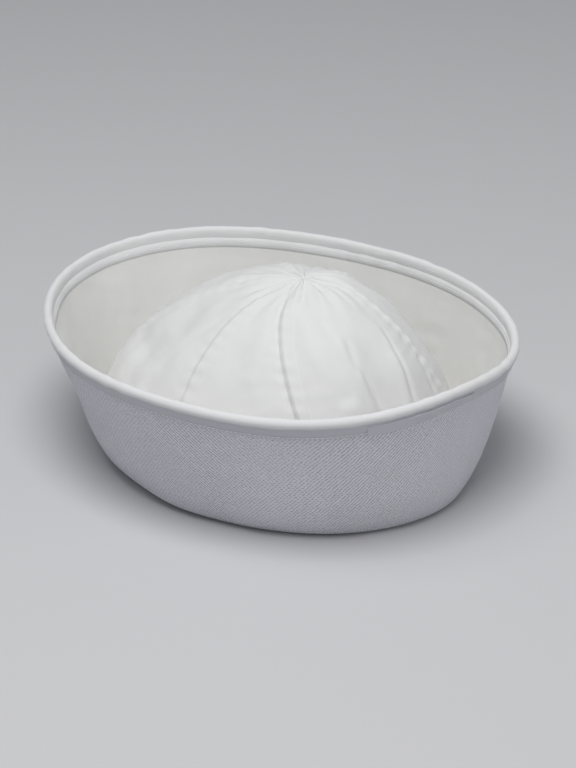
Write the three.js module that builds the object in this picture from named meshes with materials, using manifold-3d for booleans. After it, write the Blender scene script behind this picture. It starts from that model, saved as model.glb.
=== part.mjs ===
// Sailor cap: a soft six-gore crown inside a tall turned-up brim of two plies
// with a bound edge. Millimetres, +Z up, the cap's front at -Y, its back at +Y.
// Angles run round the cap in degrees from the front towards +X.

import * as THREE from 'three';
import { mergeVertices } from 'three/addons/utils/BufferGeometryUtils.js';
import Module from 'manifold-3d';

// ---------------------------------------------------------------- sizes

const cloth = {
  outerPly: 1.0,
  innerPly: 1.0,
  crown: 1.2,
  binding: 1.0,
  gap: 0.3,
};

// The turned fold that the cap rests on, as an ellipse at its outer edge.
const fold = {
  halfWidth: 85.1,
  halfLength: 105.4,
  centreX: -5.4,
  centreY: 7.0,
  flatWidth: 5,
  bendRadius: 2,
  allowanceGap: 1.1,
  innerPlyStart: 2,
};

// The rim is the centre line of the rolled edge.
const rim = {
  halfWidth: 115.6,
  halfLength: 137.4,
  height: 79.2,
  centreX: -1.0,
  centreY: 2.7,
};

// Slow waves of the rim: outward swing and lift in mm, peaks in degrees.
const rimWaves = [
  { waves: 1, swing: 0, swingPeak: 0, lift: 0.6, liftPeak: 157 },
  { waves: 2, swing: 0.2, swingPeak: -63, lift: 1.7, liftPeak: -38 },
  { waves: 3, swing: 1.8, swingPeak: -4, lift: 0.8, liftPeak: 50 },
  { waves: 4, swing: 0.9, swingPeak: -33, lift: 1.4, liftPeak: -13 },
  { waves: 5, swing: 1.2, swingPeak: 7, lift: 0.6, liftPeak: 32 },
];

// The brim's rise from the fold to the rim, as a cubic curve whose handles are
// fractions of the flare (out) and of the rim's height (up).
const rise = {
  firstOut: 0.36,
  secondOut: 0.745,
  secondUp: 0.625,
};

// Soft hollows and swells of the brim's wall: where, how far they spread round
// (degrees) and up (stations), and how far they stand out (mm).
const brimSwells = [
  { angle: 52, station: 0.62, round: 38, up: 0.17, out: -2.2 },
  { angle: 50, station: 0.2, round: 34, up: 0.1, out: 0.8 },
  { angle: 186, station: 0.12, round: 16, up: 0.08, out: 1.0 },
];

const edge = {
  beadRadius: 2.9,
  outsideLeg: 7.8,
  insideLeg: 7.4,
  plyTop: 1,
  reach: 84, // length of brim that one unit of the rise curve covers at the rim
};

// The loose end of the binding, lapped over its start at the back.
const lap = {
  startAngle: 148,
  endAngleLow: 166,
  endAngleHigh: 183,
  low: 7.7,
  high: 2.6,
  startProud: 0.05,
  thickness: 0.5,
  sunk: 0.4,
};

const crown = {
  footInset: 4.1, // from the fold's edge in to the crown's outer face
  footHeight: 1.5,
  height: 102.5,
  fullWidth: 7.3, // how far the crown swells past its foot, across and along
  fullLength: 4.8,
  tuckHeight: 22,
  planPower: 2.04,
  risePower: 1.96,
  swayX: 5.2,
  swayY: -3.7,
  leanX: -13.5,
  leanY: 8.9,
  leanPower: 2,
  tip: 0.995,
  swellFromFoot: 6, // how fast swells grow from the foot and die out at the tip
  swellToTip: 8,
};

// Seams between the gores: angle at the foot, angle at the top, and how late
// the seam turns from the one to the other.
const seams = [
  { foot: 20, top: 25, turn: 1 },
  { foot: 90, top: 68, turn: 1.5 },
  { foot: 145, top: 93, turn: 1.35 },
  { foot: 220, top: 196, turn: 1 },
  { foot: 270, top: 257, turn: 1 },
  { foot: 322, top: 314, turn: 1 },
];

const felledSeam = {
  width: 8,
  raise: 0.8,
  bevel: 0.6,
  mostOfGore: 0.5,
  bevelMostOfBand: 0.25,
};

// Soft swells and hollows of the crown: where, how far they spread (mm round
// the crown and up it) and how far they stand out (mm, hollows below zero).
const crownSwells = [
  { angle: 38, climb: 0.3, round: 40, up: 34, out: 3.5 },
  { angle: 50, climb: 0.52, round: 15, up: 22, out: -5 },
  { angle: 25, climb: 0.72, round: 28, up: 26, out: -2 },
  { angle: 110, climb: 0.45, round: 24, up: 40, out: -2 },
  { angle: 152, climb: 0.62, round: 13, up: 34, out: 4 },
  { angle: 172, climb: 0.42, round: 14, up: 30, out: -3 },
  { angle: 188, climb: 0.86, round: 20, up: 16, out: 3 },
  { angle: 207, climb: 0.52, round: 26, up: 34, out: -4 },
  { angle: 228, climb: 0.22, round: 30, up: 26, out: 4 },
  { angle: 292, climb: 0.5, round: 26, up: 36, out: -3 },
  { angle: 340, climb: 0.55, round: 24, up: 36, out: 2.5 },
];

const sampleStep = 1e-3; // spacing of the samples that give a surface's directions
const weldDistance = 1e-4;
const ringSteps = 56;
const wallStations = [0.08, 0.18, 0.3, 0.45, 0.64, 0.82, 0.91];
const bendSteps = 3;
const allowanceClimbs = [0.13, 0.05]; // up the crown's inside, from the top down
const beadSteps = 7;
const goreClimbs = [0, 0.05, 0.13, 0.24, 0.37, 0.51, 0.65, 0.78, 0.9, crown.tip];
const goreColumns = 6; // across the gore, past its felled seam
const lapColumns = 9;
const lapRowSteps = 5;

// ---------------------------------------------------------------- materials

function twill(name, color, roughness) {
  return new THREE.MeshStandardMaterial({ name, color, roughness, metalness: 0 });
}

const materials = {
  crown: twill('crown twill', 0xe9e9e6, 0.9),
  outerPly: twill('ribbed brim twill', 0xdfdfe4, 0.92),
  innerPly: twill('brim facing twill', 0xe6e5df, 0.9),
  binding: twill('binding tape', 0xeaeaec, 0.86),
};

// ---------------------------------------------------------------- surfaces

const radians = THREE.MathUtils.degToRad;

function foldPoint(angle, inset) {
  const across = new THREE.Vector3(
    fold.halfWidth * Math.sin(angle),
    -fold.halfLength * Math.cos(angle),
    0,
  );
  const outward = new THREE.Vector3(
    Math.sin(angle) / fold.halfWidth,
    -Math.cos(angle) / fold.halfLength,
    0,
  ).normalize();
  across.addScaledVector(outward, -inset);
  across.x += fold.centreX;
  across.y += fold.centreY;
  return across;
}

function rimPoint(angle) {
  let swing = 0;
  let lift = 0;
  for (const row of rimWaves) {
    swing += row.swing * Math.cos(row.waves * (angle - radians(row.swingPeak)));
    lift += row.lift * Math.cos(row.waves * (angle - radians(row.liftPeak)));
  }
  return new THREE.Vector3(
    rim.centreX + (rim.halfWidth + swing) * Math.sin(angle),
    rim.centreY - (rim.halfLength + swing) * Math.cos(angle),
    rim.height + lift,
  );
}

function turnBetween(angle, degrees) {
  const turn = angle - radians(degrees);
  return Math.atan2(Math.sin(turn), Math.cos(turn));
}

function brimSwell(angle, station) {
  let out = 0;
  for (const row of brimSwells) {
    const round = turnBetween(angle, row.angle) / radians(row.round);
    const up = (station - row.station) / row.up;
    out += row.out * Math.exp(-round * round - up * up);
  }
  return out;
}

// The brim's outside face, from the fold (station 0) to the rim (station 1).
function brimFace(angle, station) {
  const rest = 1 - station;
  const first = 3 * rest * rest * station;
  const second = 3 * rest * station * station;
  const last = station * station * station;
  const out = first * rise.firstOut + second * rise.secondOut + last;
  const up = second * rise.secondUp + last;
  const top = rimPoint(angle);
  const point = foldPoint(angle, 0).lerp(top, out);
  const swell = brimSwell(angle, station);
  point.x += swell * Math.sin(angle);
  point.y -= swell * Math.cos(angle);
  point.z = top.z * up;
  return point;
}

function crownSwell(angle, climb) {
  const roundRadius = (fold.halfWidth + fold.halfLength) / 2;
  const slope = Math.PI / 2 * roundRadius;
  let out = 0;
  for (const row of crownSwells) {
    const slant = turnBetween(angle, row.angle) * roundRadius;
    const round = slant * Math.cos(climb * Math.PI / 2) / row.round;
    const up = (climb - row.climb) * slope / row.up;
    out += row.out * Math.exp(-round * round - up * up);
  }
  const fromFoot = Math.min(1, climb * crown.swellFromFoot);
  const toTip = Math.min(1, (1 - climb) * crown.swellToTip);
  return out * fromFoot * toTip;
}

function crownFace(angle, climb) {
  const bend = climb * Math.PI / 2;
  const spread = Math.cos(bend) ** (2 / crown.planPower);
  const height = crown.height * Math.sin(bend) ** (2 / crown.risePower);
  const tuck = Math.max(0, 1 - height / crown.tuckHeight) ** 2;
  const lean = (height / crown.height) ** crown.leanPower;
  const swell = crownSwell(angle, climb);
  const footWidth = fold.halfWidth - crown.footInset;
  const footLength = fold.halfLength - crown.footInset;
  const wide = (footWidth + crown.fullWidth) * spread - crown.fullWidth * tuck + swell * spread;
  const long = (footLength + crown.fullLength) * spread - crown.fullLength * tuck + swell * spread;
  return new THREE.Vector3(
    fold.centreX + crown.swayX * (1 - tuck) + crown.leanX * lean + wide * Math.sin(angle),
    fold.centreY + crown.swayY * (1 - tuck) + crown.leanY * lean - long * Math.cos(angle),
    crown.footHeight + height + swell * (1 - spread),
  );
}

// A point of a surface, the way into the cloth there and the way up the face.
function frameAt(surface, angle, station) {
  const point = surface(angle, station);
  const behind = surface(angle - sampleStep, station);
  const round = surface(angle + sampleStep, station).sub(behind);
  const lower = surface(angle, Math.max(0, station - sampleStep));
  const up = surface(angle, station + sampleStep).sub(lower).normalize();
  const inward = new THREE.Vector3().crossVectors(up, round).normalize();
  return { point, inward, up, roundSpeed: round.length() / (2 * sampleStep) };
}

function deepen(surface, angle, station, depth) {
  const { point, inward } = frameAt(surface, angle, station);
  return point.addScaledVector(inward, depth);
}

function brimAt(angle, below, depth) {
  return deepen(brimFace, angle, 1 - below / edge.reach, depth);
}

function crownAt(angle, climb, depth) {
  const point = deepen(crownFace, angle, climb, depth);
  point.z = Math.max(point.z, crown.footHeight);
  return point;
}

// ---------------------------------------------------------------- solids

function closedGeometry(positions, triangles) {
  const geometry = new THREE.BufferGeometry();
  geometry.setAttribute('position', new THREE.Float32BufferAttribute(positions, 3));
  geometry.setIndex(triangles);
  geometry.computeVertexNormals();
  return geometry;
}

function quad(a, b, c, d) {
  return [a, b, c, a, c, d];
}

// A closed outline carried round the cap.
function ringSolid(outlineAt) {
  const positions = [];
  const triangles = [];
  let count = 0;
  for (let step = 0; step < ringSteps; step += 1) {
    const outline = outlineAt(step / ringSteps * 2 * Math.PI);
    count = outline.length;
    outline.forEach((point) => positions.push(...point.toArray()));
  }
  for (let step = 0; step < ringSteps; step += 1) {
    const here = step * count;
    const ahead = (step + 1) % ringSteps * count;
    for (let i = 0; i < count; i += 1) {
      const next = (i + 1) % count;
      triangles.push(...quad(here + i, ahead + i, ahead + next, here + next));
    }
  }
  return closedGeometry(positions, triangles);
}

// A panel of cloth between two faces given as rows of points, closed all round.
function panelSolid(outerRows, innerRows) {
  const rows = outerRows.length;
  const columns = outerRows[0].length;
  const positions = [];
  const triangles = [];
  for (const face of [outerRows, innerRows]) {
    face.flat().forEach((point) => positions.push(...point.toArray()));
  }
  const back = rows * columns;
  const at = (row, column) => row * columns + column;
  for (let r = 0; r < rows - 1; r += 1) {
    for (let c = 0; c < columns - 1; c += 1) {
      const face = [at(r, c), at(r, c + 1), at(r + 1, c + 1), at(r + 1, c)];
      triangles.push(...quad(...face));
      triangles.push(...quad(...face.map((index) => index + back).reverse()));
    }
  }
  const border = [];
  for (let c = 0; c < columns - 1; c += 1) border.push(at(0, c));
  for (let r = 0; r < rows - 1; r += 1) border.push(at(r, columns - 1));
  for (let c = columns - 1; c > 0; c -= 1) border.push(at(rows - 1, c));
  for (let r = rows - 1; r > 0; r -= 1) border.push(at(r, 0));
  border.forEach((here, i) => {
    const ahead = border[(i + 1) % border.length];
    triangles.push(...quad(ahead, here, here + back, ahead + back));
  });
  return closedGeometry(positions, triangles);
}

const wasm = await Module();
wasm.setup();

function toSolid(geometry) {
  const merged = geometry.clone();
  merged.deleteAttribute('normal');
  const welded = mergeVertices(merged, weldDistance);
  return new wasm.Manifold(new wasm.Mesh({
    numProp: 3,
    vertProperties: new Float32Array(welded.getAttribute('position').array),
    triVerts: new Uint32Array(welded.getIndex().array),
  }));
}

function joined(first, second) {
  const mesh = toSolid(first).add(toSolid(second)).getMesh();
  return closedGeometry(Array.from(mesh.vertProperties), Array.from(mesh.triVerts));
}

// ---------------------------------------------------------------- pieces

// One face of the brim's cloth from its start on the flat up to the rim.
function brimRun(angle, depth, startInset) {
  const start = foldPoint(angle, startInset);
  start.z = depth;
  const foot = foldPoint(angle, 0);
  foot.z = depth;
  const climb = wallStations.map((station) => deepen(brimFace, angle, station, depth));
  return [start, foot, ...climb, brimAt(angle, edge.plyTop, depth)];
}

// The seam allowance: down the inside of the crown and round the fold's bend.
function allowanceRun(angle, depth) {
  const radius = fold.bendRadius - depth;
  const behind = cloth.crown + fold.allowanceGap + cloth.outerPly - depth;
  const points = allowanceClimbs.map((climb) => crownAt(angle, climb, behind));
  for (let step = 0; step < bendSteps; step += 1) {
    const turn = Math.PI / 2 * (1 - step / bendSteps);
    const point = foldPoint(angle, fold.flatWidth + radius * Math.sin(turn));
    point.z = fold.bendRadius - radius * Math.cos(turn);
    points.push(point);
  }
  return points;
}

function outerPlyOutline(angle) {
  const face = (depth) => [
    ...allowanceRun(angle, depth),
    ...brimRun(angle, depth, fold.flatWidth),
  ];
  return [...face(0), ...face(cloth.outerPly).reverse()];
}

function innerPlyOutline(angle) {
  const outer = cloth.outerPly + cloth.gap;
  const inner = outer + cloth.innerPly;
  return [
    ...brimRun(angle, outer, fold.innerPlyStart),
    ...brimRun(angle, inner, fold.innerPlyStart).reverse(),
  ];
}

// The binding: a leg outside, the rolled bead over the top and a leg inside.
function bindingOutline(angle) {
  const stack = cloth.outerPly + cloth.gap + cloth.innerPly;
  const near = -cloth.gap;
  const far = stack + cloth.gap;
  const outside = near - cloth.binding;
  const inside = far + cloth.binding;
  const slotTop = edge.plyTop - cloth.gap;
  const halfway = edge.insideLeg / 2;
  const { point, inward, up } = frameAt(brimFace, angle, 1);
  const centre = point.addScaledVector(inward, stack / 2);
  const start = Math.acos((stack / 2 - outside) / edge.beadRadius);
  const bead = [];
  for (let step = 0; step <= beadSteps; step += 1) {
    const turn = -start + (Math.PI + 2 * start) * step / beadSteps;
    bead.push(centre.clone()
      .addScaledVector(inward, -edge.beadRadius * Math.cos(turn))
      .addScaledVector(up, edge.beadRadius * Math.sin(turn)));
  }
  return [
    brimAt(angle, edge.outsideLeg, outside),
    brimAt(angle, halfway, outside),
    ...bead,
    brimAt(angle, halfway, inside),
    brimAt(angle, edge.insideLeg, inside),
    brimAt(angle, edge.insideLeg, far),
    brimAt(angle, halfway, far),
    brimAt(angle, slotTop, far),
    brimAt(angle, slotTop, near),
    brimAt(angle, halfway, near),
    brimAt(angle, edge.outsideLeg, near),
  ];
}

function lapRows(depthAt) {
  const rows = [];
  for (let step = 0; step <= lapRowSteps; step += 1) {
    const share = step / lapRowSteps;
    const below = THREE.MathUtils.lerp(lap.low, lap.high, share);
    const end = THREE.MathUtils.lerp(lap.endAngleLow, lap.endAngleHigh, share);
    const row = [];
    for (let column = 0; column <= lapColumns; column += 1) {
      const along = column / lapColumns;
      const angle = radians(THREE.MathUtils.lerp(lap.startAngle, end, along));
      row.push(brimAt(angle, below, depthAt(along)));
    }
    rows.push(row);
  }
  return rows;
}

function bindingGeometry() {
  const surface = -cloth.gap - cloth.binding;
  const outer = lapRows((along) => surface - lap.startProud - lap.thickness * along);
  const inner = lapRows(() => surface + lap.sunk);
  return joined(ringSolid(bindingOutline), panelSolid(outer, inner));
}

function seamAngle(seam, climb) {
  return radians(seam.foot + (seam.top - seam.foot) * climb ** seam.turn);
}

function goreGeometry(index) {
  const from = seams[index];
  const to = seams[(index + 1) % seams.length];
  const fullTurn = index + 1 === seams.length ? 2 * Math.PI : 0;
  const outerRows = [];
  const innerRows = [];
  for (const climb of goreClimbs) {
    const first = seamAngle(from, climb);
    const last = seamAngle(to, climb) + fullTurn;
    const speed = frameAt(crownFace, (first + last) / 2, climb).roundSpeed;
    const start = first + cloth.gap / 2 / frameAt(crownFace, first, climb).roundSpeed;
    const end = last - cloth.gap / 2 / frameAt(crownFace, last, climb).roundSpeed;
    const band = Math.min(felledSeam.width / speed, (end - start) * felledSeam.mostOfGore);
    const slope = Math.min(felledSeam.bevel / speed, band * felledSeam.bevelMostOfBand);
    const columns = [{ angle: start, raise: felledSeam.raise }];
    columns.push({ angle: start + band - slope, raise: felledSeam.raise });
    for (let column = 0; column <= goreColumns; column += 1) {
      const angle = THREE.MathUtils.lerp(start + band, end, column / goreColumns);
      columns.push({ angle, raise: 0 });
    }
    outerRows.push(columns.map((c) => crownAt(c.angle, climb, -c.raise)));
    innerRows.push(columns.map((c) => crownAt(c.angle, climb, cloth.crown)));
  }
  return panelSolid(outerRows, innerRows);
}

// ---------------------------------------------------------------- the cap

const cap = new THREE.Group();

function add(name, geometry, material) {
  const mesh = new THREE.Mesh(geometry, material);
  mesh.name = name;
  cap.add(mesh);
}

seams.forEach((seam, index) => add(`crown_gore_${index + 1}`, goreGeometry(index), materials.crown));
add('brim_outer_ply', ringSolid(outerPlyOutline), materials.outerPly);
add('brim_inner_ply', ringSolid(innerPlyOutline), materials.innerPly);
add('edge_binding', bindingGeometry(), materials.binding);

export default cap;
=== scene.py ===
# White cotton sailor cap: a six-gore crown inside a tall turned-up brim with a rolled, bound edge.
import math

import bpy
import numpy as np
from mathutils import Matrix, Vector


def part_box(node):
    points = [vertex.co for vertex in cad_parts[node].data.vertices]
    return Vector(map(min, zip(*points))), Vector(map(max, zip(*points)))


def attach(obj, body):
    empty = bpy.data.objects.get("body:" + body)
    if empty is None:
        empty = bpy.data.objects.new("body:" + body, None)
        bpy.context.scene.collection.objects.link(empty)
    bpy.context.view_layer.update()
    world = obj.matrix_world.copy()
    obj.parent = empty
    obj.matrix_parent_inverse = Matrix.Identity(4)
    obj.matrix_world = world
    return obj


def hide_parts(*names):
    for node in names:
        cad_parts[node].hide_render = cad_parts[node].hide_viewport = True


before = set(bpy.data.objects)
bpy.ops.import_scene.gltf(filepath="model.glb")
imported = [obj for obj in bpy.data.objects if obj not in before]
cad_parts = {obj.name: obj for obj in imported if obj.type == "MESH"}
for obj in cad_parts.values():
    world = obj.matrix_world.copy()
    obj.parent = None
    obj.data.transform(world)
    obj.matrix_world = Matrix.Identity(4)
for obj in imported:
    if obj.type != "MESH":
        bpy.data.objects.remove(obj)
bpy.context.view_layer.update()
mm = 0.001
fullTurn = 2 * math.pi
print("frame loaded:", ", ".join(sorted(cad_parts)))

# the cap's own shape, shared by every piece
# angles run round the cap from its front (-Y) towards +X, in degrees in the tables.

bindingLow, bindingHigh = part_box("edge_binding")
crownHigh = max(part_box(node)[1].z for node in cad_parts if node.startswith("crown_gore"))

rimShape = {
    "widePastCentre": 1.24 * mm,    # how far the rolled edge stands past its own centre line
    "longPastCentre": 1.01 * mm,
    "centreX": -1.0 * mm,
    "centreY": 2.7 * mm,
    "topOverCentre": 7.43 * mm,     # highest point of the binding over the mean rim
}
rimHalfWide = (bindingHigh.x - bindingLow.x) / 2 - rimShape["widePastCentre"]
rimHalfLong = (bindingHigh.y - bindingLow.y) / 2 - rimShape["longPastCentre"]
rimHeight = bindingHigh.z - rimShape["topOverCentre"]

rimWaves = [  # waves round the rim, swing outwards and lift in mm, peaks in degrees
    {"waves": 1, "swing": 0.0, "swingPeak": 0, "lift": 0.6, "liftPeak": 157},
    {"waves": 2, "swing": 0.2, "swingPeak": -63, "lift": 1.7, "liftPeak": -38},
    {"waves": 3, "swing": 1.8, "swingPeak": -4, "lift": 0.8, "liftPeak": 50},
    {"waves": 4, "swing": 0.9, "swingPeak": -33, "lift": 1.4, "liftPeak": -13},
    {"waves": 5, "swing": 1.2, "swingPeak": 7, "lift": 0.6, "liftPeak": 32},
]

foldShape = {
    "halfWide": rimHalfWide * 0.7362,
    "halfLong": rimHalfLong * 0.7671,
    "centreX": -5.4 * mm,
    "centreY": 7.0 * mm,
    "flatWidth": 5 * mm,
    "bendRadius": 2 * mm,
}

wallCurve = {"firstOut": 0.36, "secondOut": 0.745, "secondUp": 0.625}

brimSwells = [  # where the brim leans in or bellies out, spreads in degrees and stations, out in mm
    {"angle": 52, "station": 0.62, "round": 38, "up": 0.17, "out": -2.2},
    {"angle": 50, "station": 0.2, "round": 34, "up": 0.1, "out": 0.8},
    {"angle": 186, "station": 0.12, "round": 16, "up": 0.08, "out": 1.0},
]

crownShape = {
    "footInset": 4.1 * mm,
    "footHeight": 1.5 * mm,
    "height": crownHigh - 2.7 * mm,
    "fullWide": 7.3 * mm,
    "fullLong": 4.8 * mm,
    "tuckHeight": 22 * mm,
    "planPower": 2.04,
    "risePower": 1.96,
    "swayX": 5.2 * mm,
    "swayY": -3.7 * mm,
    "leanX": -13.5 * mm,
    "leanY": 8.9 * mm,
    "leanPower": 2.0,
}

crownSwells = [  # broad swells and hollows, spreads and heights in mm
    {"angle": 38, "climb": 0.3, "round": 40, "up": 34, "out": 3.5},
    {"angle": 50, "climb": 0.52, "round": 15, "up": 22, "out": -5},
    {"angle": 25, "climb": 0.72, "round": 28, "up": 26, "out": -2},
    {"angle": 110, "climb": 0.45, "round": 24, "up": 40, "out": -2},
    {"angle": 152, "climb": 0.62, "round": 13, "up": 34, "out": 4},
    {"angle": 172, "climb": 0.42, "round": 14, "up": 30, "out": -3},
    {"angle": 188, "climb": 0.86, "round": 20, "up": 16, "out": 3},
    {"angle": 207, "climb": 0.52, "round": 26, "up": 34, "out": -4},
    {"angle": 228, "climb": 0.22, "round": 30, "up": 26, "out": 4},
    {"angle": 292, "climb": 0.5, "round": 26, "up": 36, "out": -3},
    {"angle": 340, "climb": 0.55, "round": 24, "up": 36, "out": 2.5},
]

crownSeams = [  # angle at the foot and the top, how late it turns, groove and ridge beside it in mm
    {"foot": 20, "top": 25, "turn": 1.0, "groove": 0.3, "ridge": 0.4},
    {"foot": 90, "top": 68, "turn": 1.5, "groove": 0.2, "ridge": 0.45},
    {"foot": 145, "top": 93, "turn": 1.35, "groove": 0.75, "ridge": 0.7},
    {"foot": 220, "top": 196, "turn": 1.0, "groove": 0.15, "ridge": 0.7},
    {"foot": 270, "top": 257, "turn": 1.0, "groove": 0.3, "ridge": 0.45},
    {"foot": 322, "top": 314, "turn": 1.0, "groove": 0.3, "ridge": 0.4},
]

crownRadius = (foldShape["halfWide"] + foldShape["halfLong"]) / 2
crownSlope = crownRadius * math.pi / 2


def wrapAngle(angle):
    return (angle + math.pi) % fullTurn - math.pi


def unit(vectors):
    return vectors / np.linalg.norm(vectors, axis=-1, keepdims=True)


def stack3(x, y, z):
    return np.stack(np.broadcast_arrays(x, y, z), axis=-1)


def foldPoint(angle, inset=0.0, height=0.0):
    angle = np.asarray(angle, float)
    wide, long = foldShape["halfWide"], foldShape["halfLong"]
    outX, outY = np.sin(angle) / wide, -np.cos(angle) / long
    size = np.hypot(outX, outY)
    x = foldShape["centreX"] + wide * np.sin(angle) - inset * outX / size
    y = foldShape["centreY"] - long * np.cos(angle) - inset * outY / size
    return stack3(x, y, height)


def rimPoint(angle):
    swing = sum(r["swing"] * mm * np.cos(r["waves"] * (angle - math.radians(r["swingPeak"])))
                for r in rimWaves)
    lift = sum(r["lift"] * mm * np.cos(r["waves"] * (angle - math.radians(r["liftPeak"])))
               for r in rimWaves)
    return stack3(rimShape["centreX"] + (rimHalfWide + swing) * np.sin(angle),
                  rimShape["centreY"] - (rimHalfLong + swing) * np.cos(angle),
                  rimHeight + lift)


def brimFace(angle, station):
    # outside face of the brim, from the fold (0) up to the rim (1)
    rest = 1 - station
    first = 3 * rest * rest * station
    second = 3 * rest * station * station
    last = station ** 3
    out = first * wallCurve["firstOut"] + second * wallCurve["secondOut"] + last
    up = second * wallCurve["secondUp"] + last
    base, top = foldPoint(angle), rimPoint(angle)
    flat = base + (top - base) * np.asarray(out)[..., None]
    swell = 0
    for row in brimSwells:
        around = wrapAngle(angle - math.radians(row["angle"])) / math.radians(row["round"])
        height = (station - row["station"]) / row["up"]
        swell = swell + row["out"] * mm * np.exp(-around ** 2 - height ** 2)
    return stack3(flat[..., 0] + swell * np.sin(angle), flat[..., 1] - swell * np.cos(angle),
                  top[..., 2] * up)


def crownFace(angle, climb):
    c = crownShape
    bend = climb * math.pi / 2
    spread = np.cos(bend) ** (2 / c["planPower"])
    height = c["height"] * np.sin(bend) ** (2 / c["risePower"])
    tuck = np.maximum(0, 1 - height / c["tuckHeight"]) ** 2
    lean = (height / c["height"]) ** c["leanPower"]
    swell = 0
    for row in crownSwells:
        turn = wrapAngle(angle - math.radians(row["angle"]))
        around = turn * crownRadius * np.cos(bend) / (row["round"] * mm)
        along = (climb - row["climb"]) * crownSlope / (row["up"] * mm)
        swell = swell + row["out"] * mm * np.exp(-around ** 2 - along ** 2)
    swell = swell * np.minimum(1, climb * 6) * np.minimum(1, (1 - climb) * 8)
    wide = (foldShape["halfWide"] - c["footInset"] + c["fullWide"] + swell) * spread
    long = (foldShape["halfLong"] - c["footInset"] + c["fullLong"] + swell) * spread
    wide = wide - c["fullWide"] * tuck
    long = long - c["fullLong"] * tuck
    return stack3(
        foldShape["centreX"] + c["swayX"] * (1 - tuck) + c["leanX"] * lean + wide * np.sin(angle),
        foldShape["centreY"] + c["swayY"] * (1 - tuck) + c["leanY"] * lean - long * np.cos(angle),
        c["footHeight"] + height + swell * (1 - spread))


def faceFrame(face, angle, station):
    # the point, the way into the cloth, the way up the face, and metres per radian round it
    step = 1e-3
    angle, station = np.broadcast_arrays(np.asarray(angle, float), np.asarray(station, float))
    point = face(angle, station)
    around = face(angle + step, station) - face(angle - step, station)
    up = unit(face(angle, station + step) - face(angle, np.maximum(0, station - step)))
    inward = unit(np.cross(up, around))
    return point, inward, up, np.linalg.norm(around, axis=-1) / (2 * step)


def ripple(points, wavelength, seed, waves=9):
    # smooth pseudo-random field of about -1..1 from a few plane waves
    rng = np.random.default_rng(seed)
    ways = unit(rng.normal(size=(waves, 3))) * rng.uniform(0.7, 1.4, (waves, 1))
    phases = rng.uniform(0, fullTurn, waves)
    field = np.cos(points @ ways.T * (fullTurn / wavelength) + phases).sum(axis=-1)
    return field / math.sqrt(waves)


def hump(value, middle, spread):
    return np.exp(-((value - middle) / spread) ** 2)


def smoothStep(low, high, value):
    share = np.clip((value - low) / (high - low), 0, 1)
    return share * share * (3 - 2 * share)


# meshes from grids of points

def meshFromGrid(name, points, uv):
    # points is (steps, section, 3), closed both ways; uv is one longer each way, in metres of cloth
    steps, section = points.shape[:2]
    i, j = np.meshgrid(np.arange(steps), np.arange(section), indexing="ij")
    i2, j2 = i + 1, j + 1
    corner = np.stack([i * section + j, i2 % steps * section + j,
                       i2 % steps * section + j2 % section, i * section + j2 % section], -1)
    cornerUv = np.stack([uv[i, j], uv[i2, j], uv[i2, j2], uv[i, j2]], -2)
    return buildMesh(name, points.reshape(-1, 3), corner.reshape(-1, 4), cornerUv.reshape(-1, 2))


def buildMesh(name, verts, quads, cornerUv):
    mesh = bpy.data.meshes.new(name)
    mesh.vertices.add(len(verts))
    mesh.vertices.foreach_set("co", np.ascontiguousarray(verts, np.float32).ravel())
    mesh.loops.add(quads.size)
    mesh.loops.foreach_set("vertex_index", np.ascontiguousarray(quads, np.int32).ravel())
    mesh.polygons.add(len(quads))
    mesh.polygons.foreach_set("loop_start", np.arange(0, quads.size, 4, dtype=np.int32))
    mesh.polygons.foreach_set("use_smooth", np.ones(len(quads), bool))
    mesh.update(calc_edges=True)
    layer = mesh.uv_layers.new(name="cloth")
    layer.uv.foreach_set("vector", np.ascontiguousarray(cornerUv, np.float32).ravel())
    mesh.validate()
    piece = bpy.data.objects.new(name, mesh)
    bpy.context.scene.collection.objects.link(piece)
    return piece


def standFor(piece, material, slot, *nodes):
    piece.data.materials.clear()
    piece.data.materials.append(material)
    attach(piece, "root")
    if nodes:
        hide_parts(*nodes)
    print("made", piece.name, len(piece.data.polygons), "faces")
    return piece


# shader groups used by more than one cloth

def newGroup(name, inputs, outputs):
    group = bpy.data.node_groups.new(name, "ShaderNodeTree")
    for label, kind, value in inputs:
        socket = group.interface.new_socket(name=label, in_out="INPUT", socket_type=kind)
        if value is not None:
            socket.default_value = value
    for label, kind in outputs:
        group.interface.new_socket(name=label, in_out="OUTPUT", socket_type=kind)
    return group, group.nodes.new("NodeGroupInput"), group.nodes.new("NodeGroupOutput")


def feed(tree, socket, value):
    if isinstance(value, bpy.types.NodeSocket):
        tree.links.new(value, socket)
    else:
        socket.default_value = value


def calc(tree, operation, *values):
    node = tree.nodes.new("ShaderNodeMath")
    node.operation = operation
    for socket, value in zip(node.inputs, values):
        feed(tree, socket, value)
    return node.outputs[0]


def noiseAt(tree, vector, scale, detail, roughness=0.5):
    node = tree.nodes.new("ShaderNodeTexNoise")
    feed(tree, node.inputs["Vector"], vector)
    node.inputs["Scale"].default_value = scale
    node.inputs["Detail"].default_value = detail
    node.inputs["Roughness"].default_value = roughness
    return node.outputs["Fac"]


def remap(tree, value, fromLow, fromHigh, toLow, toHigh):
    node = tree.nodes.new("ShaderNodeMapRange")
    feed(tree, node.inputs["Value"], value)
    for label, number in (("From Min", fromLow), ("From Max", fromHigh),
                          ("To Min", toLow), ("To Max", toHigh)):
        feed(tree, node.inputs[label], number)
    return node.outputs["Result"]


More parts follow.
